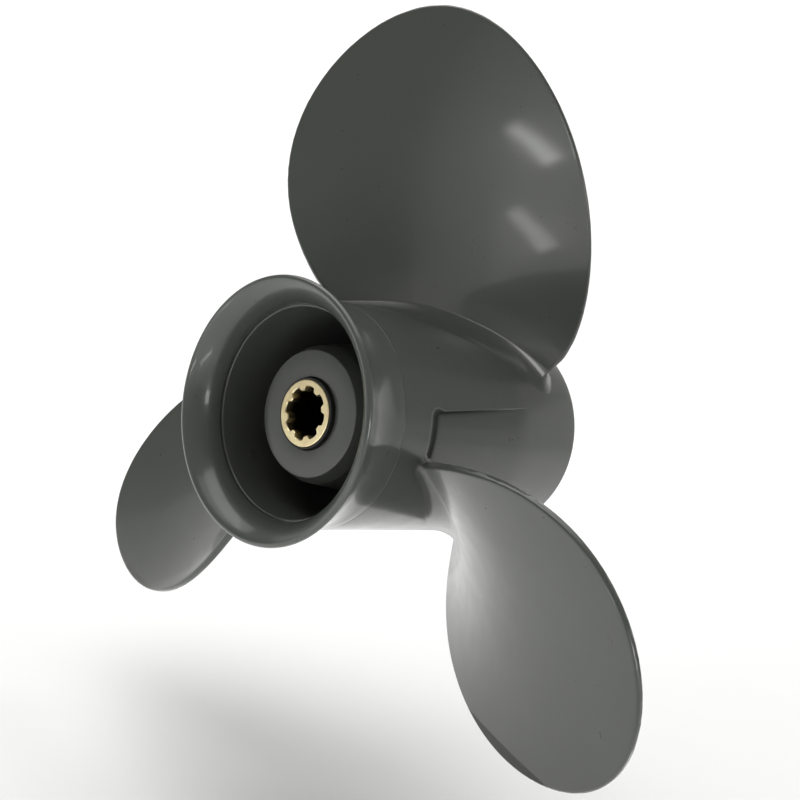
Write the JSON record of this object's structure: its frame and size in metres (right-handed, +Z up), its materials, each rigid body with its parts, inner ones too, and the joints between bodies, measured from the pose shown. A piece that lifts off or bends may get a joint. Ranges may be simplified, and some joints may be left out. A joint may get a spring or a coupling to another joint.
{
  "type": "outboard motor propeller",
  "caption": "Right-hand three-blade outboard propeller with a through-hub exhaust, a flared outlet ring and a rubber-bushed splined sleeve.",
  "frame": {"origin": "on the shaft axis, level with the middle of the blade roots", "axes": "+Y along the shaft towards the gearcase (forward), -Y aft to the exhaust outlet, +Z up through the tip of blade_1, +X to starboard"},
  "size_m": [0.2113, 0.1031, 0.1938],
  "materials": {
    "cast_paint": "satin",
    "ring_paint": "satin",
    "bush_rubber": "matte",
    "sleeve_brass": "satin"
  },
  "bodies": {
    "drive_sleeve": {"spline_sleeve": "sleeve_brass", "rubber_bush": "bush_rubber"},
    "casting": {"outer_barrel": "cast_paint", "blade_1": "cast_paint", "blade_2": "cast_paint", "blade_3": "cast_paint", "web_1": "cast_paint", "web_2": "cast_paint", "web_3": "cast_paint", "inner_hub": "cast_paint", "diffuser_ring": "ring_paint"}
  },
  "joints": [
    {"name": "bush_wind_up", "type": "hinge", "parent": "drive_sleeve", "child": "casting", "pos_m": [0, 0, 0], "axis": [0, 1, 0], "range_deg": [-10, 10], "stiffness_Nm_per_rad": 150}
  ]
}
